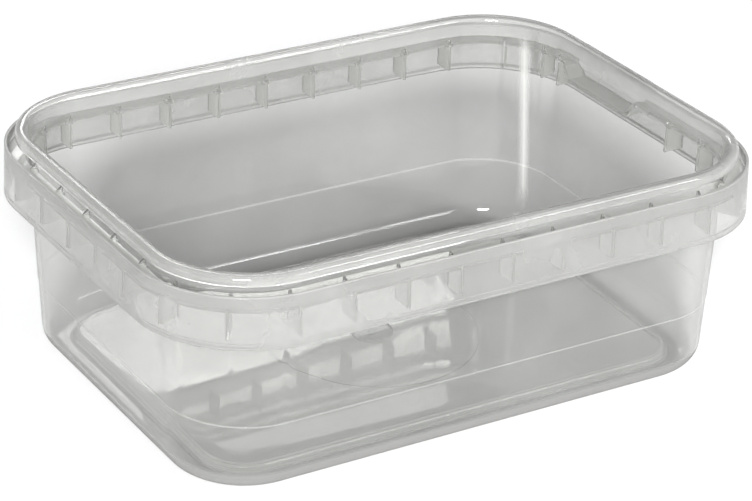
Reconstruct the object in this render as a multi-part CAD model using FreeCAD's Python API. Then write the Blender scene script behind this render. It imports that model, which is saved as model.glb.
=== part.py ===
import FreeCAD, Part
import math
import os

# Rectangular food tub with a rounded rim and a tamper-evident skirt.
# Millimetres, +Z up, origin at the middle of the underside, +X along the length.
# Every outline is one rounded rectangle moved inward by an "offset" measured
# from the skirt's top outline, so all corners share the same four centres.
# Heights near the rim are measured down from its crest, so they follow HEIGHT.

# ---- overall -------------------------------------------------------------
LENGTH = 190.0            # skirt top outline, along X
WIDTH = 139.3             # skirt top outline, along Y
HEIGHT = 68.0             # base to rim crest
CORNER = 32.4             # corner radius of the skirt top outline

# ---- wall and floor ------------------------------------------------------
WALL = 0.8                # wall and floor thickness
WALL_FOOT = 9.5           # offset of the wall's outer face, run down to z 0
DRAFT = 0.0478            # how far the wall leans out per mm of height
CREASE_Z = 20.8           # height of the fine step round the wall
CREASE_H = 0.8            # height over which it steps
CREASE = 0.22             # how far the wall steps in below it
BASE_FILLET = 6.5         # outer radius between wall and base
FOOT_IN = 19.5            # offset of the inner edge of the foot the tub stands on
FOOT_R = 1.5              # bend where the foot rises to the panel
PANEL_OFF = 20.5          # offset of the edge of the raised floor panel
PANEL_R = 0.7             # bend at that edge
PANEL_Z = 2.6             # underside of the raised floor panel
DISC_R, DISC_T = 31.5, 0.3      # thicker round area in the middle of the panel
GATE_R, GATE_DEPTH = 6.6, 0.45  # dished spot where the plastic was fed in
GATE_SLOPE = 0.6          # how far the spot's side leans in
GATE_LEDGE = 0.4          # how much smaller the dish above is than the pad below
NUB_R, NUB_H = 1.1, 0.5   # moulding point under it

# ---- rim -----------------------------------------------------------------
RIM_OUT = 3.0             # offset of the outer face of the rolled rim
RIM_W = 3.8               # width of the rolled rim
RIM_WALL = 0.9            # its thickness
RIM_FLAT = 0.06           # flat left between its two bends
LIP_DROP = 3.0            # crest down to the lower edge of the outer lip
LEAN_DROP = 6.5           # above this the wall leans out to meet the rim
LEAN_R = 8.0              # bend where it begins to lean

# ---- skirt, web and plates -----------------------------------------------
SKIRT_DROP, SKIRT_H = 4.5, 15.1 # crest down to the skirt's top, and its height
SKIRT = 0.9               # skirt thickness
FLARE = 0.45              # how far the skirt's foot stands out past its top
BEAD_H, BEAD_T = 1.8, 0.55      # thicker band along the foot of the skirt
BEAD_RAMP = 0.5           # slope at the top of that band
TOP_EDGE, FOOT_EDGE = 0.15, 0.3 # bevels at the skirt's top and at the foot's outside
FOOT_EDGE_IN = 0.2        # bevel at the foot's inside
WEB_DROP, WEB_T = 8.2, 1.0      # crest down to the web's top, and its thickness
PLATE_T = 0.8             # thickness of the upright plates under the web
PLATE_RISE = 2.7          # their lower edge, above the skirt's foot
PLATE_EDGE = 0.3          # how far that edge stays clear of the skirt's mid-line
GUSSET_H, GUSSET_W = 1.6, 2.6   # little gusset of each plate above the web
SLOT_W, BRIDGE = 0.9, 2.6       # slots beside the wall, and the web left at each plate

# ---- opening tab on the +X side --------------------------------------------
TAB_Y0, TAB_Y1 = -5.0, 35.0     # ends of the raised part of the skirt
TAB_RISE = 1.7
TAB_R0, TAB_R1 = 5.0, 2.25      # length of the rounded end at each side
DIP_Y0, DIP_Y1 = -1.0, 35.0     # where the web begins to dip
DIP, DIP_RUN = 4.5, 3.4         # depth of the dip and length of each slanted end
DIP_LAP = 1.0             # how far the dipped strip reaches into the web at each end
DIP_SLANT = 0.8           # how much further along the slant's underside lies

# ---- heights ---------------------------------------------------------------
LIP_Z = HEIGHT - LIP_DROP
LEAN_Z = HEIGHT - LEAN_DROP
WEB_Z = HEIGHT - WEB_DROP
SKIRT_TOP = HEIGHT - SKIRT_DROP
SKIRT_FOOT = SKIRT_TOP - SKIRT_H
PLATE_FOOT = SKIRT_FOOT + PLATE_RISE
GUSSET_Z = WEB_Z + GUSSET_H
DIP_Z = WEB_Z - DIP

CX, CY = LENGTH / 2 - CORNER, WIDTH / 2 - CORNER     # corner centres
JOIN = 0.2                # how far plates and pads reach into what carries them

# ---- plate positions -------------------------------------------------------
# The long sides have one even pitch, the back being the front turned half round.
LONG_PITCH, LONG_PHASE = 16.25, 1.1
SHORT_PITCH, SHORT_PHASE = 16.7, 3.8
END_ROOM = 4.0            # how far a plate may stand past a straight side's end
TAB_GAP, TAB_PITCH = 13.8, 15.5     # tab to the first plate beside it, and on to the next
LAST_GAP = 2.4            # tab to the plate at its other end
LONG_N = int((CX + END_ROOM) / LONG_PITCH)
SHORT_N = int((CY + END_ROOM - SHORT_PHASE) / SHORT_PITCH)
LEFT_PLATES = [SHORT_PHASE + SHORT_PITCH * k for k in range(-SHORT_N, SHORT_N + 1)]
RIGHT_PLATES = [TAB_Y0 - TAB_GAP - TAB_PITCH, TAB_Y0 - TAB_GAP, TAB_Y1 + LAST_GAP]
CORNER_PLATES = {(-1, -1): (-162.0, -127.0), (-1, 1): (150.0, 121.0),
                 (1, 1): (48.0, 17.0), (1, -1): (-24.0, -57.0)}     # degrees about each centre

V = FreeCAD.Vector


def wall_off(z):
    """Offset of the wall's outer face at height z, without the crease."""
    return WALL_FOOT - DRAFT * z


def rounded_path(points, radii):
    """Edges of a polyline in (offset, z) with the given radius at each inner point."""
    pts = [V(o, 0, z) for o, z in points]
    edges, start = [], pts[0]
    for before, p, after, r in zip(pts, pts[1:], pts[2:], radii):
        if r == 0:
            edges.append(Part.makeLine(start, p))
            start = p
            continue
        u, w = (before - p).normalize(), (after - p).normalize()
        half = u.getAngle(w) / 2
        cut = r / math.tan(half)
        p1, p2 = p + u * cut, p + w * cut
        mid = p + (u + w).normalize() * (r / math.sin(half) - r)
        edges.append(Part.makeLine(start, p1))
        edges.append(Part.Arc(p1, mid, p2).toShape())
        start = p2
    edges.append(Part.makeLine(start, pts[-1]))
    return edges


def offset_points(points, thick):
    """The polyline moved sideways by the thickness given for each of its lines."""
    starts, ways = [], []
    for (o0, z0), (o1, z1), t in zip(points, points[1:], thick):
        way = V(o1 - o0, 0, z1 - z0).normalize()
        starts.append(V(o0 + way.z * t, 0, z0 - way.x * t))
        ways.append(way)
    moved = [starts[0]]
    for p, d, q, e in zip(starts, ways, starts[1:], ways[1:]):
        across = d.x * e.z - d.z * e.x
        along = ((q.x - p.x) * e.z - (q.z - p.z) * e.x) / across
        moved.append(p + d * along)
    end = V(points[-1][0], 0, points[-1][1])
    moved.append(starts[-1] + ways[-1] * (end - starts[-1]).dot(ways[-1]))
    return [(p.x, p.z) for p in moved]


def around(face):
    """Carry a face drawn in (offset, z) round the whole rounded rectangle."""
    parts = []
    corners = {0: (CX, CY, V(0, -2 * CY, 0)), 90: (-CX, CY, V(2 * CX, 0, 0)),
               180: (-CX, -CY, V(0, 2 * CY, 0)), 270: (CX, -CY, V(-2 * CX, 0, 0))}
    for turn, (x, y, run) in corners.items():
        # an offset o lies at radius CORNER - o from the corner's centre
        section = face.mirror(V(0, 0, 0), V(1, 0, 0))
        section.translate(V(CORNER, 0, 0))
        section.rotate(V(0, 0, 0), V(0, 0, 1), turn)
        section.translate(V(x, y, 0))
        parts.append(section.revolve(V(x, y, 0), V(0, 0, 1), 90))
        parts.append(section.extrude(run))
    return parts[0].multiFuse(parts[1:]).removeSplitter()


def slab(off, z0, z1):
    """Solid rounded rectangle at one offset, from z0 to z1."""
    hx, hy = LENGTH / 2 - off, WIDTH / 2 - off
    box = Part.makeBox(2 * hx, 2 * hy, z1 - z0, V(-hx, -hy, z0))
    upright = [e for e in box.Edges if e.tangentAt(e.FirstParameter).cross(V(0, 0, 1)).Length < 0.5]
    return box.makeFillet(CORNER - off, upright)


def closed(points):
    """Face with the given corners in (offset, z)."""
    return Part.Face(Part.makePolygon([V(o, 0, z) for o, z in points + points[:1]]))


def closed_at(x, points):
    """Face with the given corners in (y, z), upright at x."""
    return Part.Face(Part.makePolygon([V(x, y, z) for y, z in points + points[:1]]))


def shell():
    """Wall, base fillet, foot, panel riser and rolled rim, all round."""
    rim_in = RIM_OUT + RIM_W
    under = HEIGHT - RIM_WALL
    into_panel = 5.0
    path = [(PANEL_OFF + into_panel, PANEL_Z), (PANEL_OFF, PANEL_Z), (FOOT_IN, 0.0),
            (wall_off(0) + CREASE, 0.0),
            (wall_off(CREASE_Z) + CREASE, CREASE_Z - CREASE_H / 2), (wall_off(CREASE_Z), CREASE_Z + CREASE_H / 2),
            (wall_off(LEAN_Z), LEAN_Z), (rim_in - RIM_WALL, under),
            (RIM_OUT + RIM_WALL, under), (RIM_OUT + RIM_WALL, LIP_Z)]
    thick = [WALL] * 6 + [RIM_WALL] * 3
    bend = (RIM_W - RIM_FLAT) / 2 - RIM_WALL
    radii = [PANEL_R, FOOT_R, BASE_FILLET, 0, 0, LEAN_R, bend, bend]
    inner = offset_points(path, thick)
    inner_radii = [PANEL_R + WALL, FOOT_R - WALL, BASE_FILLET - WALL, 0, 0,
                   LEAN_R, bend + RIM_WALL, bend + RIM_WALL]
    ends = [Part.makeLine(V(a[0], 0, a[1]), V(b[0], 0, b[1]))
            for a, b in ((path[0], inner[0]), (path[-1], inner[-1]))]
    edges = rounded_path(path, radii) + rounded_path(inner, inner_radii) + ends
    return around(Part.Face(Part.Wire(Part.__sortEdges__(edges))))


def skirt_face(z):
    """Offset of the skirt's outer face at height z."""
    return -FLARE * (SKIRT_TOP - z) / SKIRT_H


def skirt():
    """Flaring skirt with its thicker band along the foot."""
    foot, bead = SKIRT_FOOT, SKIRT_FOOT + BEAD_H
    return around(closed([
        (TOP_EDGE, SKIRT_TOP), (0.0, SKIRT_TOP - TOP_EDGE),
        (skirt_face(foot + FOOT_EDGE), foot + FOOT_EDGE), (skirt_face(foot) + FOOT_EDGE, foot),
        (skirt_face(foot) + SKIRT + BEAD_T - FOOT_EDGE_IN, foot),
        (skirt_face(foot) + SKIRT + BEAD_T, foot + FOOT_EDGE_IN),
        (skirt_face(bead) + SKIRT + BEAD_T, bead - BEAD_RAMP), (skirt_face(bead) + SKIRT, bead),
        (SKIRT, SKIRT_TOP - TOP_EDGE), (SKIRT - TOP_EDGE, SKIRT_TOP)]))


def web():
    """Level web from the middle of the wall to the middle of the skirt."""
    o0, o1 = SKIRT / 2, wall_off(WEB_Z) + WALL / 2
    return around(closed([(o0, WEB_Z), (o1, WEB_Z), (o1, WEB_Z - WEB_T), (o0, WEB_Z - WEB_T)]))


def at_station(solid, station):
    """Place a solid drawn at the +X side (offset o at x = -o) at a station of the outline."""
    kind, where = station
    placed = solid.copy()
    sides = {"right": (0, V(LENGTH / 2, where, 0)), "left": (180, V(-LENGTH / 2, where, 0)),
             "front": (-90, V(where, -WIDTH / 2, 0)), "back": (90, V(where, WIDTH / 2, 0))}
    if kind in sides:
        turn, move = sides[kind]
    else:
        placed.translate(V(CORNER, 0, 0))
        turn, move = where, V(kind[0] * CX, kind[1] * CY, 0)
    placed.rotate(V(0, 0, 0), V(0, 0, 1), turn)
    placed.translate(move)
    return placed


def stations():
    """Every plate's place on the outline."""
    places = []
    for k in range(-LONG_N, LONG_N + 1):
        places.append(("front", LONG_PHASE + LONG_PITCH * k))
        places.append(("back", -LONG_PHASE + LONG_PITCH * k))
    places += [("left", y) for y in LEFT_PLATES] + [("right", y) for y in RIGHT_PLATES]
    places += [(corner, angle) for corner, pair in CORNER_PLATES.items() for angle in pair]
    return places


def plate():
    """Upright plate from skirt to wall, with its gusset above the web."""
    wall_low = wall_off(PLATE_FOOT) + WALL / 2
    wall_top = wall_off(GUSSET_Z) + WALL / 2
    top = WEB_Z - JOIN
    outline = [(-SKIRT / 2 + PLATE_EDGE, PLATE_FOOT), (-wall_low, PLATE_FOOT), (-wall_top, GUSSET_Z),
               (-wall_top + WALL / 2, GUSSET_Z), (-wall_top + GUSSET_W, top), (-SKIRT / 2, top)]
    face = Part.Face(Part.makePolygon([V(x, -PLATE_T / 2, z) for x, z in outline + outline[:1]]))
    return face.extrude(V(0, PLATE_T, 0))


def slots():
    """Band beside the wall that opens the web, kept shut at each plate and at the tab."""
    spare = 0.5                     # how far cutters stand past the web
    lap = 0.02                      # the slots cut this much clear of the wall's face
    low, high = WEB_Z - WEB_T - spare, WEB_Z + spare
    o1 = wall_off(WEB_Z) - lap
    band = around(closed([(o1 - SLOT_W, high), (o1, high), (o1, low), (o1 - SLOT_W, low)]))
    reach = WALL_FOOT + CREASE + WALL
    bridge = Part.makeBox(reach, BRIDGE, 2 * (high - low), V(-reach, -BRIDGE / 2, low - spare))
    bridges = [at_station(bridge, s) for s in stations()]
    shut = 4.0                      # web left whole at each end of the tab
    tab_part = Part.makeBox(reach, TAB_Y1 - TAB_Y0 + 2 * shut, 2 * (high - low),
                            V(LENGTH / 2 - reach, TAB_Y0 - shut, low - spare))
    return band.cut(bridges + [tab_part])


def tab():
    """Raised part of the skirt at the opening tab, with a rounded rise at each end."""
    steps = 8
    sink, inset = 1.0, 0.05         # into the skirt, and clear of its two faces

    def rise(y, run):
        angles = [math.pi / 2 * k / steps for k in range(steps + 1)]
        return [(y + run * (1 - math.cos(a)), SKIRT_TOP + TAB_RISE * math.sin(a)) for a in angles]
    outline = [(TAB_Y0, SKIRT_TOP - sink)] + rise(TAB_Y0, TAB_R0)
    outline += rise(TAB_Y1, -TAB_R1)[::-1] + [(TAB_Y1, SKIRT_TOP - sink)]
    face = closed_at(LENGTH / 2 - SKIRT + inset, outline)
    return face.extrude(V(SKIRT - 2 * inset, 0, 0))


def dip_room():
    """What is taken out of the level web where it dips at the tab."""
    lap = 0.02
    off = wall_off(WEB_Z)
    return Part.makeBox(off - SKIRT + 2 * lap, DIP_Y1 - DIP_Y0, 3 * WEB_T,
                        V(LENGTH / 2 - off - lap, DIP_Y0, WEB_Z - 2 * WEB_T))


def dip_strip():
    """Strip that carries on the web down into the dip and up again."""
    y0, y1, low = DIP_Y0 - DIP_LAP, DIP_Y1 + DIP_LAP, WEB_Z - WEB_T
    top = [(DIP_Y0, WEB_Z), (DIP_Y0 + DIP_RUN, DIP_Z), (DIP_Y1 - DIP_RUN, DIP_Z), (DIP_Y1, WEB_Z)]
    under = [(y1, WEB_Z), (y1, low), (DIP_Y1 - DIP_RUN + DIP_SLANT, DIP_Z - WEB_T),
             (DIP_Y0 + DIP_RUN - DIP_SLANT, DIP_Z - WEB_T), (y0, low), (y0, WEB_Z)]
    x0 = LENGTH / 2 - wall_off(DIP_Z) - WALL / 2
    return closed_at(x0, top + under).extrude(V(LENGTH / 2 - SKIRT / 2 - x0, 0, 0))


def floor():
    """Raised panel with its thicker middle, the dished gate spot and its nub."""
    into_shell = 4.0
    under, pad_z = PANEL_Z - DISC_T, PANEL_Z - DISC_T - GATE_DEPTH
    panel = slab(PANEL_OFF + into_shell, PANEL_Z, PANEL_Z + WALL)
    disc = Part.makeCylinder(DISC_R, WALL + DISC_T, V(0, 0, under))
    pad = Part.makeCone(GATE_R - GATE_SLOPE, GATE_R, GATE_DEPTH, V(0, 0, pad_z))
    dish = Part.makeCone(GATE_R - GATE_SLOPE - GATE_LEDGE, GATE_R - GATE_LEDGE, GATE_DEPTH,
                         V(0, 0, PANEL_Z + WALL - GATE_DEPTH))
    nub = Part.makeCylinder(NUB_R, NUB_H + JOIN / 2, V(0, 0, pad_z - NUB_H))
    return panel.fuse([disc, pad]).cut(dish).fuse(nub)


def tub():
    """The whole one-piece moulding."""
    open_web = web().cut([slots(), dip_room()])
    plates = [at_station(plate(), s) for s in stations()]
    body = shell().fuse([floor(), skirt(), open_web, dip_strip(), tab()] + plates)
    return body.removeSplitter()


def main():
    os.makedirs("parts", exist_ok=True)
    shape = tub()
    if shape.ShapeType == "Compound" and len(shape.Solids) == 1:
        shape = shape.Solids[0]
    box = shape.BoundBox
    print("solids", len(shape.Solids), "valid", shape.isValid(), "volume", round(shape.Volume, 1),
          "box", [round(v, 2) for v in (box.XMin, box.XMax, box.YMin, box.YMax, box.ZMin, box.ZMax)])
    shape.exportStep("parts/tub.step")


if __name__ == "__main__":
    main()
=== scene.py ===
import math

import bmesh
import bpy
from bpy.props import FloatProperty, FloatVectorProperty, PointerProperty
from mathutils import Matrix, Vector


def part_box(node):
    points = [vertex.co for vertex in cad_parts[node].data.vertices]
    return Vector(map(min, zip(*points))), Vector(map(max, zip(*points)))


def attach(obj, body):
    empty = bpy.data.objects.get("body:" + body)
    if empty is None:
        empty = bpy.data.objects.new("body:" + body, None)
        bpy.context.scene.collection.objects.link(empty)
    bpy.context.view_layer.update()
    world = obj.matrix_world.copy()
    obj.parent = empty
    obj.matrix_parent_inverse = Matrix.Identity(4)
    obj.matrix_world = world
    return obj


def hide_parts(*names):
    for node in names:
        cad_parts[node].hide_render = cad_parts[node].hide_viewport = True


bl_info = {
    "name": "Clear Food Tub",
    "version": (1, 0, 0),
    "blender": (4, 5, 0),
    "location": "3D View > Sidebar > Food Tub",
    "description": "Builds a clear one-piece food tub with a tamper-evident skirt, and its studio",
    "category": "Object",
}

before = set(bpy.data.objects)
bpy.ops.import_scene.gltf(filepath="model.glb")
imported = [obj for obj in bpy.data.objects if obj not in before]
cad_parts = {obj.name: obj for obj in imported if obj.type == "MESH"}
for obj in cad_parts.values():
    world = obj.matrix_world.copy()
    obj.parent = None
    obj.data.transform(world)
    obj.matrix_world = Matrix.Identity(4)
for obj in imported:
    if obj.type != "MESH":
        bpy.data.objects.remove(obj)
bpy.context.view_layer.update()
LOW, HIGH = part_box("tub")
MM = 0.001

# Fixed measures in metres; those that a user would change are in TubSizes below. An "offset"
# is how far an outline lies inward of the skirt's top outline; every outline is the same
# rounded rectangle, so its corners share their centres.
FLARE = 0.45 * MM                       # how far the skirt's foot stands out past its top
HALF_X = HIGH.x - FLARE                 # skirt top outline
HALF_Y = HIGH.y - FLARE
CORNER = 32.4 * MM
CENTRE_X, CENTRE_Y = HALF_X - CORNER, HALF_Y - CORNER
TOP = HIGH.z                            # rim crest

DRAFT = 0.0478                          # the wall's lean per height
CREASE_H, CREASE = 0.8 * MM, 0.22 * MM
FOOT_R, PANEL_R, FOOT_IN, PANEL_OFF = 1.5 * MM, 0.7 * MM, 19.5 * MM, 20.5 * MM
DISC_T = 0.3 * MM
GATE_R, GATE_DEPTH, GATE_SLOPE = 6.6 * MM, 0.45 * MM, 0.6 * MM
NUB_R, NUB_H = 1.1 * MM, 0.5 * MM

RIM_OUT, RIM_WALL, RIM_FLAT = 3.0 * MM, 0.9 * MM, 0.06 * MM
LIP_Z, LEAN_Z, LEAN_R = TOP - 3.0 * MM, TOP - 6.5 * MM, 8.0 * MM

SKIRT_TOP = TOP - 4.5 * MM
BEAD_H, BEAD_T, BEAD_RAMP = 1.8 * MM, 0.55 * MM, 0.5 * MM
EDGE_R = 0.3 * MM                       # soft edges of the skirt
WEB_Z, WEB_T = TOP - 8.2 * MM, 1.0 * MM
PLATE_LIFT, PLATE_EDGE = 2.7 * MM, 0.3 * MM
GUSSET_Z, GUSSET_W = WEB_Z + 1.6 * MM, 2.6 * MM
BRIDGE = 2.6 * MM
JOIN = 0.2 * MM                         # how far plates and pads reach into what carries them

TAB_Y0, TAB_Y1, TAB_R0, TAB_R1 = -5.0 * MM, 35.0 * MM, 5.0 * MM, 2.25 * MM
DIP_Y0, DIP_Y1, DIP_RUN, DIP_LAP, DIP_SLANT = -1.0 * MM, 35.0 * MM, 3.4 * MM, 1.0 * MM, 0.8 * MM

LONG_PITCH, LONG_PHASE = 16.25 * MM, 1.1 * MM
SHORT_PITCH, SHORT_PHASE = 16.7 * MM, 3.8 * MM
END_ROOM = 4.0 * MM
TAB_GAP, TAB_PITCH, LAST_GAP = 13.8 * MM, 15.5 * MM, 2.4 * MM
CORNER_PLATES = {(-1, -1): (-162.0, -127.0), (-1, 1): (150.0, 121.0),
                 (1, 1): (48.0, 17.0), (1, -1): (-24.0, -57.0)}

CORNER_STEPS = 30                       # facets round each corner
BEND_STEPS = 10                         # facets round each bend of the section
NEEDLE = 0.002 * MM                     # edges shorter than this are dissolved after welding
OVERLAP = 0.02 * MM                     # how far a cutting form passes what it cuts

SKIRT_DEEP, SKIRT_SOFT = 1.6 * MM, 0.2 * MM     # offsets up to this belong to the skirt
FLOOR_HIGH, FLOOR_SOFT = 7.5 * MM, 4.0 * MM     # heights up to this belong to the floor
RIM_SOFT = 1.0 * MM                             # the rim's looks set in over this height


# ---- what a user would change ---------------------------------------------------

def length(name, description, default):
    """A size in the sidebar."""
    return FloatProperty(name=name, description=description, default=default, min=default / 2,
                         max=default * 2, subtype="DISTANCE", unit="LENGTH", precision=4)


def share(name, description, default):
    """A share between 0 and 1 in the sidebar."""
    return FloatProperty(name=name, description=description, default=default, min=0.0, max=1.0,
                         subtype="FACTOR")


def tint(name, description, default):
    """A colour in the sidebar."""
    return FloatVectorProperty(name=name, description=description, default=default, size=3, min=0.0,
                               max=1.0, subtype="COLOR")


class TubSizes(bpy.types.PropertyGroup):
    """Sizes of the tub."""
    wall: length("Wall", "Thickness of the wall and the floor", 0.8 * MM)
    wall_foot: length("Wall set-in", "How far in from the skirt the wall meets the floor", 9.5 * MM)
    crease: length("Crease height", "Height of the fill line pressed into the wall", 20.8 * MM)
    fillet: length("Base fillet", "Radius between wall and floor", 6.5 * MM)
    panel: length("Floor height", "How far the floor panel stands off the table", 2.6 * MM)
    disc: length("Disc radius", "Radius of the thicker round area of the floor", 31.5 * MM)
    rim: length("Rim width", "Width of the rolled rim", 3.8 * MM)
    skirt_height: length("Skirt height", "Height of the skirt", 15.1 * MM)
    skirt: length("Skirt", "Thickness of the skirt", 0.9 * MM)
    plate: length("Plate", "Thickness of the upright plates", 0.8 * MM)
    slot: length("Slot", "Width of the slots beside the wall", 0.9 * MM)
    tab_rise: length("Tab rise", "How far the opening tab stands above the skirt", 1.7 * MM)
    dip: length("Dip", "How far the web dips at the opening tab", 4.5 * MM)


class TubLooks(bpy.types.PropertyGroup):
    """Looks of the plastic, with its painted highlights and painted shade."""
    milk: tint("Milkiness colour", "Colour of the light that the plastic scatters", (0.85, 0.855, 0.835))
    # Painted shade: a darker copy of the milk for the skirt and rim, offsetting the key light on their
    # upright faces.
    shaded_band_milk: tint("Band colour", "The same for the skirt and the rim", (0.56, 0.56, 0.55))
    haze: share("Wall haze", "Share of light that each face of the wall scatters", 0.085)
    floor_haze: share("Floor haze", "The same for the floor", 0.1)
    skirt_haze: share("Skirt haze", "The same for the skirt", 0.3)
    rim_haze: share("Rim haze", "The same for the rim", 0.25)
    plate_haze: share("Plate haze", "What the plates inside the skirt scatter", 0.6)
    # Painted highlight: strength of the whitish stripe up one corner of the wall.
    weld: share("Weld line", "Strength of the whitish line up one corner", 0.5)
    flow: FloatProperty(name="Flow marks", description="Unevenness of the haze", min=0.0, max=4.0,
                        default=2.2)
    # The next three set how far the painted shade colour is laid: on walls seen edge-on below the skirt, on
    # the outside of the base, and in the gate dish.
    edge: share("Edge", "How far a wall seen edge-on takes the edge colour", 0.45)
    base: share("Base", "How far the outside of the base takes the edge colour", 0.9)
    gate: share("Gate dish", "How far the dish in the floor takes the edge colour", 0.3)
    # Painted shade: the dark grey laid at edges, on the base and in the gate dish, standing in for darker
    # surroundings seen there.
    painted_shade_colour: tint("Edge colour", "Colour of the plastic seen edge-on", (0.24, 0.24, 0.235))
    lamp_shade: tint("Lamp shade", "What each face lets through of a lamp's light", (0.43, 0.43, 0.425))
    floor_shade: tint("Floor shade", "The same for each face of the floor", (0.8, 0.8, 0.79))
    soft_shade: tint("Soft shade", "What each face lets through of scattered light", (0.93, 0.93, 0.925))


class StudioSettings(bpy.types.PropertyGroup):
    """Levels of the studio."""
    ambient: FloatProperty(name="Ambient", description="Level of the light from all round", min=0.0,
                           default=0.18)
    key: FloatProperty(name="Key", description="Strength of the broad key light", min=0.0, default=5.5)


def sizes():
    """The tub's sizes as they are now."""
    return bpy.context.scene.tub_sizes


def skirt_foot():
    """Height of the skirt's foot."""
    return SKIRT_TOP - sizes().skirt_height


# ---- outlines and sections ---------------------------------------------------

def wall_off(z):
    """Offset of the wall's outer face at height z, without the crease."""
    return sizes().wall_foot - DRAFT * z


def corner_stations():
    """Corner centre and outward angle of every section round the tub."""
    stations = []
    for turn, (sx, sy) in enumerate(((1, 1), (-1, 1), (-1, -1), (1, -1))):
        for step in range(CORNER_STEPS + 1):
            angle = math.radians(90 * (turn + step / CORNER_STEPS))
            stations.append((sx * CENTRE_X, sy * CENTRE_Y, angle))
    return stations


def place(station, off, z):
    """Point at one offset and height of a section."""
    x, y, angle = station
    reach = CORNER - off
    return Vector((x + reach * math.cos(angle), y + reach * math.sin(angle), z))


def bent(points, radii, steps=BEND_STEPS):
    """Open polyline in (offset, z), each inner corner turned into an arc of its radius."""
    pts = [Vector(p) for p in points]
    out = [pts[0]]
    for before, p, after, r in zip(pts, pts[1:], pts[2:], radii):
        u, w = (before - p).normalized(), (after - p).normalized()
        half = u.angle(w) / 2
        if r == 0:
            out.append(p)
            continue
        middle = p + (u + w).normalized() * (r / math.sin(half))
        start, end = p + u * (r / math.tan(half)), p + w * (r / math.tan(half))
        a, b = (start - middle), (end - middle)
        sweep = a.angle(b)
        for k in range(steps + 1):
            t = k / steps
            out.append(middle + (a * math.sin((1 - t) * sweep) + b * math.sin(t * sweep)) / math.sin(sweep))
    out.append(pts[-1])
    return out


def beside(points, thick):
    """The polyline moved sideways by the thickness given for each of its lines."""
    pts = [Vector(p) for p in points]
    ways = [(b - a).normalized() for a, b in zip(pts, pts[1:])]
    starts = [p + Vector((d.y, -d.x)) * t for p, d, t in zip(pts, ways, thick)]
    out = [starts[0]]
    for p, d, q, e in zip(starts, ways, starts[1:], ways[1:]):
        out.append(p + d * ((q - p).cross(e) / d.cross(e)))
    out.append(starts[-1] + ways[-1] * (pts[-1] - starts[-1]).dot(ways[-1]))
    return out


# ---- meshes --------------------------------------------------------------------

def solid_object(name, bm):
    """A closed mesh as an object, with its faces turned outward."""
    bmesh.ops.recalc_face_normals(bm, faces=bm.faces)
    mesh = bpy.data.meshes.new(name)
    bm.to_mesh(mesh)
    bm.free()
    piece = bpy.data.objects.new(name, mesh)
    bpy.context.scene.collection.objects.link(piece)
    return piece


def swept(name, section, capped=False):
    """A section in (offset, z) carried round the tub. A capped one is open, and its ends are filled."""
    bm = bmesh.new()
    rings = [[bm.verts.new(place(s, o, z)) for o, z in section] for s in corner_stations()]
    count = len(section)
    for ring, after in zip(rings, rings[1:] + rings[:1]):
        for j in range(count - 1 if capped else count):
            k = (j + 1) % count
            bm.faces.new((ring[j], ring[k], after[k], after[j]))
    if capped:
        for end in (0, -1):
            bm.faces.new([ring[end] for ring in rings])
    return solid_object(name, bm)


def prism(name, outline, along, turns=None):
    """Flat outline of points pushed along a vector, once or at each of the given placements."""
    bm = bmesh.new()
    for turn in turns or [Matrix.Identity(4)]:
        near = [bm.verts.new(turn @ Vector(p)) for p in outline]
        far = [bm.verts.new(turn @ (Vector(p) + along)) for p in outline]
        bm.faces.new(near)
        bm.faces.new(far[::-1])
        for i in range(len(near)):
            j = (i + 1) % len(near)
            bm.faces.new((near[i], far[i], far[j], near[j]))
    return solid_object(name, bm)


def box_outline(x, y, z, depth, height):
    """Corners of an upright box's face at x, from y and z."""
    return [(x, y, z), (x, y + depth, z), (x, y + depth, z + height), (x, y, z + height)]


def turned(name, section, steps=72):
    """Closed section in (radius, z) turned about the Z axis."""
    bm = bmesh.new()
    columns, axis = [], {}
    for k in range(steps):
        angle = 2 * math.pi * k / steps
        column = []
        for j, (r, z) in enumerate(section):
            if r == 0:
                if j not in axis:
                    axis[j] = bm.verts.new((0, 0, z))
                column.append(axis[j])
            else:
                column.append(bm.verts.new((r * math.cos(angle), r * math.sin(angle), z)))
        columns.append(column)
    for column, after in zip(columns, columns[1:] + columns[:1]):
        for j in range(len(section) - 1):
            corners = [column[j], column[j + 1], after[j + 1], after[j]]
            bm.faces.new(list(dict.fromkeys(corners)))
    return solid_object(name, bm)


def combine(piece, others, how):
    """Weld other closed pieces to this one, or cut them away, and remove them."""
    for other in others:
        tool = piece.modifiers.new("combine", "BOOLEAN")
        tool.object = other
        tool.operation = how
        tool.solver = "MANIFOLD"
        with bpy.context.temp_override(object=piece, active_object=piece, selected_objects=[piece]):
            bpy.ops.object.modifier_apply(modifier=tool.name)
        bpy.data.objects.remove(other)
    return piece


def tidied(piece):
    """Take away the needles that welding leaves."""
    bm = bmesh.new()
    bm.from_mesh(piece.data)
    bmesh.ops.dissolve_degenerate(bm, dist=NEEDLE, edges=bm.edges)
    bmesh.ops.triangulate(bm, faces=[face for face in bm.faces if len(face.verts) > 4])
    bm.to_mesh(piece.data)
    bm.free()


# ---- the tub's forms -------------------------------------------------------------

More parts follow.
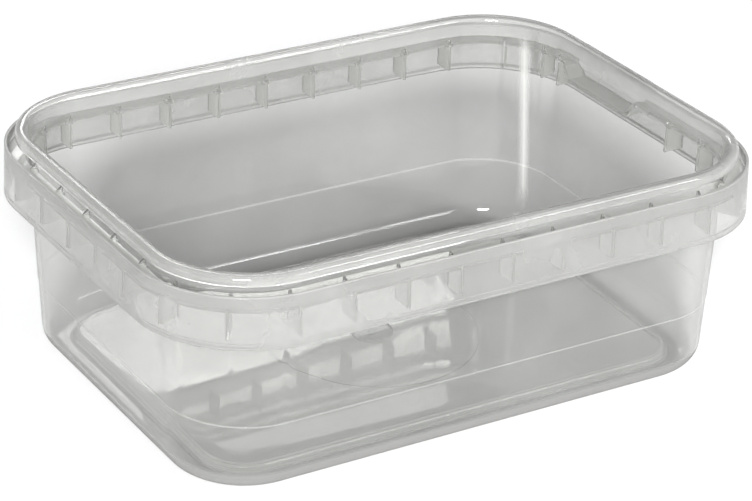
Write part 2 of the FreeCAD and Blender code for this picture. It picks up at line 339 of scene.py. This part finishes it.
def shell():
    """Floor panel, foot, base fillet, creased wall and rolled rim."""
    s = sizes()
    rim_in, under = RIM_OUT + s.rim, TOP - RIM_WALL
    into_panel = 5.0 * MM
    path = [(PANEL_OFF + into_panel, s.panel), (PANEL_OFF, s.panel), (FOOT_IN, 0.0),
            (wall_off(0) + CREASE, 0.0),
            (wall_off(s.crease) + CREASE, s.crease - CREASE_H / 2),
            (wall_off(s.crease), s.crease + CREASE_H / 2),
            (wall_off(LEAN_Z), LEAN_Z), (rim_in - RIM_WALL, under),
            (RIM_OUT + RIM_WALL, under), (RIM_OUT + RIM_WALL, LIP_Z)]
    bend = (s.rim - RIM_FLAT) / 2 - RIM_WALL
    outer = bent(path, [PANEL_R, FOOT_R, s.fillet, 0, 0, LEAN_R, bend, bend])
    inner = bent(beside(path, [s.wall] * 6 + [RIM_WALL] * 3),
                 [PANEL_R + s.wall, FOOT_R - s.wall, s.fillet - s.wall, 0, 0, LEAN_R,
                  bend + RIM_WALL, bend + RIM_WALL])
    return swept("shell", outer + inner[::-1], capped=True)


def floor_details():
    """Thicker round area, the pad under the gate with its nub, and the dish above."""
    s = sizes()
    under = s.panel - DISC_T
    pad = under - GATE_DEPTH
    pad_r, high = GATE_R - GATE_SLOPE, s.panel + JOIN
    nub_tip = 0.8 * NUB_R
    lower = [(0, high), (s.disc, high), (s.disc, under), (GATE_R, under), (pad_r, pad),
             (NUB_R, pad), (nub_tip, pad - NUB_H), (0, pad - NUB_H)]
    top = s.panel + s.wall
    ledge = 0.4 * MM
    dish = [(0, top + JOIN), (GATE_R - ledge, top + JOIN), (GATE_R - ledge, top),
            (pad_r - ledge, top - GATE_DEPTH), (0, top - GATE_DEPTH)]
    return turned("floor_pad", lower), turned("gate_dish", dish)


def skirt_face(z):
    """Offset of the skirt's outer face at height z."""
    return -FLARE * (SKIRT_TOP - z) / sizes().skirt_height


def skirt():
    """Flaring skirt with softened edges and a thicker band along its foot."""
    thick, foot = sizes().skirt, skirt_foot()
    bead = foot + BEAD_H
    foot_in = skirt_face(foot) + thick + BEAD_T
    middle = (thick / 2, SKIRT_TOP)
    section = bent([middle, (0.0, SKIRT_TOP), (skirt_face(foot), foot), (foot_in, foot),
                    (skirt_face(bead) + thick + BEAD_T, bead - BEAD_RAMP), (skirt_face(bead) + thick, bead),
                    (thick, SKIRT_TOP), middle], [EDGE_R] * 6, steps=4)
    return swept("skirt", section[:-1])


def plate_places():
    """Where each upright plate stands: a matrix that carries the +X side's drawing there."""
    def side(angle, x, y):
        return Matrix.Translation((x, y, 0)) @ Matrix.Rotation(math.radians(angle), 4, "Z")

    long_n = int((CENTRE_X + END_ROOM) / LONG_PITCH)
    short_n = int((CENTRE_Y + END_ROOM - SHORT_PHASE) / SHORT_PITCH)
    places = []
    for k in range(-long_n, long_n + 1):
        places.append(side(-90, LONG_PHASE + LONG_PITCH * k, -HALF_Y))
        places.append(side(90, -LONG_PHASE + LONG_PITCH * k, HALF_Y))
    places += [side(180, -HALF_X, SHORT_PHASE + SHORT_PITCH * k) for k in range(-short_n, short_n + 1)]
    places += [side(0, HALF_X, y) for y in
               (TAB_Y0 - TAB_GAP - TAB_PITCH, TAB_Y0 - TAB_GAP, TAB_Y1 + LAST_GAP)]
    for (sx, sy), angles in CORNER_PLATES.items():
        places += [side(angle, sx * CENTRE_X, sy * CENTRE_Y) @ Matrix.Translation((CORNER, 0, 0))
                   for angle in angles]
    return places


def plates():
    """Upright plates from skirt to wall, each with its gusset above the web."""
    s = sizes()
    foot, top = skirt_foot() + PLATE_LIFT, WEB_Z - JOIN
    wall_low, wall_top = wall_off(foot) + s.wall / 2, wall_off(GUSSET_Z) + s.wall / 2
    outline = [(-s.skirt / 2 + PLATE_EDGE, foot), (-wall_low, foot), (-wall_top, GUSSET_Z),
               (-wall_top + s.wall / 2, GUSSET_Z), (-wall_top + GUSSET_W, top), (-s.skirt / 2, top)]
    face = [(x, -s.plate / 2, z) for x, z in outline]
    return prism("plates", face, Vector((0, s.plate, 0)), plate_places())


def slots():
    """Band beside the wall that opens the web, kept shut at each plate and at the tab."""
    s = sizes()
    spare, shut = 0.5 * MM, 4.0 * MM
    low, high = WEB_Z - WEB_T - spare, WEB_Z + spare
    o1 = wall_off(WEB_Z) - OVERLAP
    band = swept("slots", [(o1 - s.slot, high), (o1, high), (o1, low), (o1 - s.slot, low)])
    reach = s.wall_foot + CREASE + s.wall
    across = Vector((reach, 0, 0))
    bridges = prism("bridges", box_outline(-reach, -BRIDGE / 2, low - spare, BRIDGE, 2 * (high - low)),
                    across, plate_places())
    tab_part = prism("tab_part", box_outline(HALF_X - reach, TAB_Y0 - shut, low - spare,
                                             TAB_Y1 - TAB_Y0 + 2 * shut, 2 * (high - low)), across)
    return combine(band, [bridges, tab_part], "DIFFERENCE")


def web():
    """Level web between wall and skirt, with its slots, dipping at the tab."""
    s = sizes()
    o0, o1 = s.skirt / 2, wall_off(WEB_Z) + s.wall / 2
    level = swept("web", [(o0, WEB_Z), (o1, WEB_Z), (o1, WEB_Z - WEB_T), (o0, WEB_Z - WEB_T)])
    off = wall_off(WEB_Z)
    face = box_outline(HALF_X - off - OVERLAP, DIP_Y0, WEB_Z - 2 * WEB_T, DIP_Y1 - DIP_Y0, 3 * WEB_T)
    room = prism("room", face, Vector((off - s.skirt + 2 * OVERLAP, 0, 0)))
    return combine(level, [slots(), room], "DIFFERENCE")


def dip_strip():
    """Strip that carries on the web down into the dip and up again."""
    s = sizes()
    dip_z = WEB_Z - s.dip
    y0, y1, low = DIP_Y0 - DIP_LAP, DIP_Y1 + DIP_LAP, WEB_Z - WEB_T
    top = [(DIP_Y0, WEB_Z), (DIP_Y0 + DIP_RUN, dip_z), (DIP_Y1 - DIP_RUN, dip_z), (DIP_Y1, WEB_Z)]
    under = [(y1, WEB_Z), (y1, low), (DIP_Y1 - DIP_RUN + DIP_SLANT, dip_z - WEB_T),
             (DIP_Y0 + DIP_RUN - DIP_SLANT, dip_z - WEB_T), (y0, low), (y0, WEB_Z)]
    x0 = HALF_X - wall_off(dip_z) - s.wall / 2
    return prism("dip", [(x0, y, z) for y, z in top + under], Vector((HALF_X - s.skirt / 2 - x0, 0, 0)))


def tab():
    """Raised part of the skirt at the opening tab, with a rounded rise at each end."""
    s = sizes()
    steps, sink, inset = 8, 1.0 * MM, 0.05 * MM

    def rise(y, run):
        angles = [math.pi / 2 * k / steps for k in range(steps + 1)]
        return [(y + run * (1 - math.cos(a)), SKIRT_TOP + s.tab_rise * math.sin(a)) for a in angles]

    outline = [(TAB_Y0, SKIRT_TOP - sink)] + rise(TAB_Y0, TAB_R0)
    outline += rise(TAB_Y1, -TAB_R1)[::-1] + [(TAB_Y1, SKIRT_TOP - sink)]
    x0 = HALF_X - s.skirt + inset
    return prism("tab", [(x0, y, z) for y, z in outline], Vector((s.skirt - 2 * inset, 0, 0)))


def moulding():
    """The whole tub as one closed mesh."""
    pad, dish = floor_details()
    body = combine(shell(), [pad], "UNION")
    combine(body, [dish], "DIFFERENCE")
    combine(body, [web(), skirt(), dip_strip(), tab(), plates()], "UNION")
    tidied(body)
    body.name = body.data.name = "tub_moulding"
    return body


# ---- shader maths ---------------------------------------------------------------

class Value:
    """A shader socket that takes part in Python arithmetic."""

    def __init__(self, tree, socket):
        self.tree, self.socket = tree, socket

    def _maths(self, operation, first, second):
        return self.tree.add("ShaderNodeMath", {"operation": operation}, {0: first, 1: second})

    def __add__(self, other):
        return self._maths("ADD", self, other)

    def __radd__(self, other):
        return self._maths("ADD", other, self)

    def __sub__(self, other):
        return self._maths("SUBTRACT", self, other)

    def __rsub__(self, other):
        return self._maths("SUBTRACT", other, self)

    def __mul__(self, other):
        return self._maths("MULTIPLY", self, other)

    def __rmul__(self, other):
        return self._maths("MULTIPLY", other, self)

    def __pow__(self, other):
        return self._maths("POWER", self, other)

    def __abs__(self):
        return self._maths("ABSOLUTE", self, 0.0)

    def least(self, other):
        """The smaller of two values."""
        return self._maths("MINIMUM", self, other)

    def most(self, other):
        """The larger of two values."""
        return self._maths("MAXIMUM", self, other)

    def clamped(self):
        """The value held between 0 and 1."""
        return self.tree.add("ShaderNodeClamp", {}, {0: self})


class Tree:
    """A material's node tree, filled through one method."""

    def __init__(self, material):
        material.use_nodes = True
        self.nodes, self.links = material.node_tree.nodes, material.node_tree.links
        self.nodes.clear()

    def add(self, kind, settings=None, inputs=None, output=0):
        """Add a node, apply its settings, then its socket values or links, and give one output."""
        node = self.nodes.new(kind)
        for name, value in (settings or {}).items():
            setattr(node, name, value)
        for name, value in (inputs or {}).items():
            if isinstance(value, Value):
                self.links.new(value.socket, node.inputs[name])
            else:
                node.inputs[name].default_value = value
        return Value(self, node.outputs[output]) if node.outputs else None


def above(value, start, run):
    """Mask that goes from 0 to 1 as the value goes from the start over the run."""
    return ((value - start) * (1 / run)).clamped()


def below(value, end, run):
    """Mask that goes from 1 to 0 as the value goes over the run to the end."""
    return ((end - value) * (1 / run)).clamped()


def line(value, middle, half):
    """Mask that is 1 where the value is at the middle and 0 beyond half a width from it."""
    return (1 - abs(value - middle) * (1 / half)).clamped()


def outline_offset(x, y):
    """How far a place lies inward of the skirt's top outline, as a shader value."""
    dx, dy = abs(x) - CENTRE_X, abs(y) - CENTRE_Y
    ox, oy = dx.most(0.0), dy.most(0.0)
    return CORNER - (ox * ox + oy * oy) ** 0.5 - dx.most(dy).least(0.0)


# ---- the plastic ------------------------------------------------------------------

def floor_zone(z):
    """Mask of the floor and the foot, fading up the base fillet."""
    return below(z, FLOOR_HIGH, FLOOR_SOFT)


def skirt_zone(off):
    """Mask of the skirt."""
    return below(off, SKIRT_DEEP, SKIRT_SOFT)


def rim_zone(z):
    """Mask of the rim and the lean under it."""
    return above(z, LEAN_Z, RIM_SOFT)


def zone_haze(looks, off, z, flow):
    """Haze of the wall, floor, skirt and rim, uneven where the melt flowed."""
    haze = looks.haze + floor_zone(z) * (looks.floor_haze - looks.haze)
    haze = haze.most(skirt_zone(off) * looks.skirt_haze).most(rim_zone(z) * looks.rim_haze)
    mean_flow = 0.5
    return haze * (1.0 + (flow - mean_flow) * looks.flow)


def plate_haze(looks, off, z):
    """Haze of the web and the plates in the space between skirt and wall."""
    s, soft = sizes(), 0.1 * MM
    gap = 0.15 * MM
    between = above(off, s.skirt + gap, soft) * below(off, wall_off(WEB_Z) - gap, soft)
    height = above(z, skirt_foot() + 2.0 * MM, 2 * soft) * below(z, WEB_Z + 2 * soft, soft)
    web_zone, web_share = above(z, WEB_Z - WEB_T - soft, soft), 0.5
    return between * height * (1 - web_zone * web_share) * looks.plate_haze


def painted_edge_highlights(off, radius, z):
    """Painted highlights: whiter lines where the plastic bends, on the skirt, crease, floor panel and disc,
    standing in for bends catching the light.
    """
    s = sizes()
    skirt_highlights = line(z, skirt_foot(), 0.4 * MM) * 0.25 + line(z, SKIRT_TOP, 0.5 * MM) * 0.3
    crease_highlight = line(z, s.crease, 0.4 * MM) * 0.2
    floor_highlights = line(off, PANEL_OFF, 0.6 * MM) * 0.45 + line(radius, s.disc, 0.4 * MM) * 0.06
    return skirt_zone(off) * skirt_highlights + crease_highlight + floor_zone(z) * floor_highlights


def painted_corner_highlight(looks, x, y, z):
    """Painted highlight: a whitish stripe up one corner of the wall, standing in for a reflection in that
    corner.
    """
    turn, lean, upright_z, half = math.radians(26), 0.08, 26 * MM, 2.6 * MM
    cos, sin = math.cos(turn), math.sin(turn)
    along = (x - CENTRE_X) * cos + (y - CENTRE_Y) * sin
    aside = (y - CENTRE_Y) * cos - (x - CENTRE_X) * sin
    stripe = line(aside - (z - upright_z) * lean, 0.0, half) ** 1.5
    ends = above(z, 6 * MM, 8 * MM) * below(z, TOP - 4 * MM, 6 * MM)
    this_corner = above(along, 15 * MM, 2 * MM)
    return stripe * this_corner * ends * looks.weld


def base_face(off, z):
    """Mask of the outer face of the base fillet and the foot, where painted shade is laid."""
    s = sizes()
    middle = wall_off(s.fillet) + CREASE + s.fillet
    across, up = off - middle, z - s.fillet
    reach = (across * across + up * up) ** 0.5
    skin, soft = 0.5 * MM, 0.2 * MM
    outer = above(reach, s.fillet - skin, soft)
    return outer * below(z, s.fillet + skin, 2.0 * MM) * below(off, FOOT_IN, 1.0 * MM)


def scatter(tree, colour):
    """Milk of a colour, which sends three quarters of the light back and a quarter through."""
    through = 0.25
    lit = tree.add("ShaderNodeBsdfDiffuse", {}, {"Color": (*colour, 1)})
    glow = tree.add("ShaderNodeBsdfTranslucent", {}, {"Color": (*colour, 1)})
    return tree.add("ShaderNodeMixShader", {}, {0: through, 1: lit, 2: glow})


def tub_plastic(looks):
    """Clear plastic with a little haze: glass to the eye, a soft shade to lamps, and milk between, with
    painted highlights at bends and up one corner, and painted shade at edges and the base.
    """
    material = bpy.data.materials.new("tub_plastic")
    tree = Tree(material)
    position = tree.add("ShaderNodeNewGeometry", {}, {}, "Position")
    x, y, z = (tree.add("ShaderNodeSeparateXYZ", {}, {0: position}, axis) for axis in "XYZ")
    off, radius = outline_offset(x, y), (x * x + y * y) ** 0.5
    flow = tree.add("ShaderNodeTexNoise", {}, {"Vector": position, "Scale": 22.0, "Detail": 4.0,
                                               "Roughness": 0.6})
    haze = zone_haze(looks, off, z, flow) + plate_haze(looks, off, z)
    # The painted edge highlights and the painted corner highlight are added to the haze here.
    haze = (haze + painted_edge_highlights(off, radius, z) + painted_corner_highlight(looks, x, y, z)).clamped()

    ripple = tree.add("ShaderNodeTexNoise", {}, {"Vector": position, "Scale": 45.0, "Detail": 2.0})
    bump = tree.add("ShaderNodeBump", {}, {"Strength": 0.02, "Distance": 0.001, "Height": ripple})
    glass = tree.add("ShaderNodeBsdfGlass", {}, {"Color": (0.97, 0.97, 0.965, 1), "Roughness": 0.015,
                                                 "IOR": 1.49, "Normal": bump})
    lamp_shade, floor_shade, soft_shade = (
        tree.add("ShaderNodeBsdfTransparent", {}, {"Color": (*colour, 1)})
        for colour in (looks.lamp_shade, looks.floor_shade, looks.soft_shade))
    from_matt = tree.add("ShaderNodeLightPath", {}, {}, "Is Diffuse Ray")
    to_lamp = tree.add("ShaderNodeLightPath", {}, {}, "Is Shadow Ray")
    clear = tree.add("ShaderNodeMixShader", {}, {0: from_matt, 1: glass, 2: soft_shade})
    clear_wall = tree.add("ShaderNodeMixShader", {}, {0: to_lamp, 1: clear, 2: lamp_shade})
    clear_floor = tree.add("ShaderNodeMixShader", {}, {0: to_lamp, 1: clear, 2: floor_shade})
    low = below(z, 5.0 * MM, 1.0 * MM)
    clear = tree.add("ShaderNodeMixShader", {}, {0: low, 1: clear_wall, 2: clear_floor})

    # Painted shade: the skirt, and the rim by half, take the darker milk.
    band = skirt_zone(off).most(rim_zone(z) * 0.5)
    wall_milk, shaded_band_milk = scatter(tree, looks.milk), scatter(tree, looks.shaded_band_milk)
    milk = tree.add("ShaderNodeMixShader", {}, {0: band, 1: wall_milk, 2: shaded_band_milk})
    hazy = tree.add("ShaderNodeMixShader", {}, {0: haze, 1: clear, 2: milk})

    # Painted shade: a dark grey diffuse mixed in where a wall is seen edge-on below the skirt, on the
    # outside of the base and in the gate dish.
    facing = tree.add("ShaderNodeLayerWeight", {}, {"Blend": 0.5}, "Facing")
    inside = tree.add("ShaderNodeNewGeometry", {}, {}, "Backfacing")
    fade = 4.0 * MM
    grazing = facing ** 2.5 * looks.edge * below(z, skirt_foot() + fade, fade)
    dish = below(radius, GATE_R, 0.6 * MM) * below(z, 8.0 * MM, 1.0 * MM) * looks.gate
    edge = grazing.most(base_face(off, z) * (1 - inside) * looks.base).most(dish).clamped()
    # The painted shade itself, a dark grey diffuse.
    thick = tree.add("ShaderNodeBsdfDiffuse", {}, {"Color": (*looks.painted_shade_colour, 1)})
    plastic = tree.add("ShaderNodeMixShader", {}, {0: edge, 1: hazy, 2: thick})
    tree.add("ShaderNodeOutputMaterial", {}, {"Surface": plastic})
    return material


# ---- the studio --------------------------------------------------------------------

def aimed(thing, position, target):
    """Stand a lamp at a position, looking at a target."""
    thing.location = position
    thing.rotation_euler = (Vector(target) - Vector(position)).to_track_quat("-Z", "Y").to_euler()


def toward(azimuth, elevation, distance=1.0):
    """Point at a bearing from the tub, in degrees from +X and up from the floor."""
    a, e = math.radians(azimuth), math.radians(elevation)
    return Vector((math.cos(a) * math.cos(e), math.sin(a) * math.cos(e), math.sin(e))) * distance


def lamp(name, kind, position, target, energy):
    """A light that looks at a target."""
    light = bpy.data.lights.new(name, kind)
    light.energy = energy
    holder = bpy.data.objects.new(name, light)
    bpy.context.scene.collection.objects.link(holder)
    aimed(holder, position, target)
    return light


def softbox(name, azimuth, elevation, distance, size, power):
    """Rectangular soft light that faces the middle of the tub."""
    middle = (0, 0, 30 * MM)
    light = lamp(name, "AREA", toward(azimuth, elevation, distance), middle, power)
    light.shape, light.size, light.size_y = "RECTANGLE", *size


def white_room(strength):
    """Even light from all round."""
    world = bpy.data.worlds.new("studio")
    bpy.context.scene.world = world
    world.use_nodes = True
    inputs = world.node_tree.nodes["Background"].inputs
    inputs["Color"].default_value = (0.97, 0.98, 1.0, 1)
    inputs["Strength"].default_value = strength


def paper_floor():
    """White paper under the tub."""
    half, clearance = 4.0, 0.0002
    mesh = bpy.data.meshes.new("floor")
    corners = [(-half, -half, 0), (half, -half, 0), (half, half, 0), (-half, half, 0)]
    mesh.from_pydata(corners, [], [(0, 1, 2, 3)])
    floor = bpy.data.objects.new("floor", mesh)
    bpy.context.scene.collection.objects.link(floor)
    floor.location.z = LOW.z - clearance
    paper = bpy.data.materials.new("paper")
    tree = Tree(paper)
    surface = tree.add("ShaderNodeBsdfDiffuse", {}, {"Color": (0.96, 0.96, 0.96, 1)})
    tree.add("ShaderNodeOutputMaterial", {}, {"Surface": surface})
    mesh.materials.append(paper)


def studio_camera():
    """Long lens from above the near left corner, rolled a little."""
    data = bpy.data.cameras.new("camera")
    data.lens, data.sensor_width, data.sensor_fit = 138.06, 36.0, "HORIZONTAL"
    data.clip_start, data.clip_end = 0.01, 20.0
    camera = bpy.data.objects.new("camera", data)
    bpy.context.scene.collection.objects.link(camera)
    azimuth, elevation, roll = -121.753, 26.206, math.radians(1.937)
    distance, target = 0.808744, Vector((-9.685, -16.858, 40.0)) * MM
    back = toward(azimuth, elevation)
    right = Vector((-back.y, back.x, 0)).normalized()
    up = back.cross(right)
    across = right * math.cos(roll) + up * math.sin(roll)
    upward = up * math.cos(roll) - right * math.sin(roll)
    turn = Matrix((across, upward, back)).transposed().to_4x4()
    camera.matrix_world = Matrix.Translation(target + back * distance) @ turn
    bpy.context.scene.camera = camera


# ---- the add-on -------------------------------------------------------------------

class TUB_OT_moulding(bpy.types.Operator):
    """Build the tub as one moulding and dress it in clear plastic"""
    bl_idname = "tub.moulding"
    bl_label = "Make the Tub"

    def execute(self, context):
        body = moulding()
        if not body.data.polygons:
            raise RuntimeError("the tub's forms did not weld")
        body.data.shade_smooth()
        body.data.set_sharp_from_angle(angle=math.radians(35))
        body.data.materials.clear()
        body.data.materials.append(tub_plastic(context.scene.tub_looks))
        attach(body, "root")
        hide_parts("tub")
        return {"FINISHED"}


class TUB_OT_studio(bpy.types.Operator):
    """Set up the floor, the lights and the camera"""
    bl_idname = "tub.studio"
    bl_label = "Make the Studio"

    def execute(self, context):
        levels = context.scene.tub_studio
        context.scene.view_settings.view_transform = "Standard"
        white_room(levels.ambient)
        paper_floor()
        key = lamp("key", "SUN", toward(-122, 27), (0, 0, 0), levels.key)
        key.angle = math.radians(18)
        # For each softbox: azimuth, elevation, distance, width and height, and power.
        softbox("right_box", -59, 26, 1.2, (0.45, 0.28), 4.0)
        softbox("left_box", 178, 20, 1.2, (0.3, 0.3), 0.9)
        softbox("back_panel", 68, 27.6, 1.3, (0.5, 0.09), 0.75)
        softbox("back_upper", 68, 30.3, 1.3, (0.5, 0.07), 0.18)
        studio_camera()
        return {"FINISHED"}


class TUB_PT_panel(bpy.types.Panel):
    """The tub's and the studio's controls"""
    bl_idname = "TUB_PT_panel"
    bl_label = "Food Tub"
    bl_space_type = "VIEW_3D"
    bl_region_type = "UI"
    bl_category = "Food Tub"

    def draw(self, context):
        scene = context.scene
        groups = {"Sizes": scene.tub_sizes, "Plastic": scene.tub_looks, "Studio": scene.tub_studio}
        for title, group in groups.items():
            self.layout.label(text=title)
            for name in group.__annotations__:
                self.layout.prop(group, name)
        self.layout.operator("tub.moulding")
        self.layout.operator("tub.studio")


CLASSES = (TubSizes, TubLooks, StudioSettings, TUB_OT_moulding, TUB_OT_studio, TUB_PT_panel)


def register():
    """Add the tub's classes and settings to Blender."""
    for cls in CLASSES:
        bpy.utils.register_class(cls)
    bpy.types.Scene.tub_sizes = PointerProperty(type=TubSizes)
    bpy.types.Scene.tub_looks = PointerProperty(type=TubLooks)
    bpy.types.Scene.tub_studio = PointerProperty(type=StudioSettings)


def unregister():
    """Take them away again."""
    del bpy.types.Scene.tub_studio
    del bpy.types.Scene.tub_looks
    del bpy.types.Scene.tub_sizes
    for cls in reversed(CLASSES):
        bpy.utils.unregister_class(cls)


def main():
    """Build the tub and its studio."""
    register()
    bpy.ops.tub.moulding()
    bpy.ops.tub.studio()


if __name__ == "__main__":
    main()
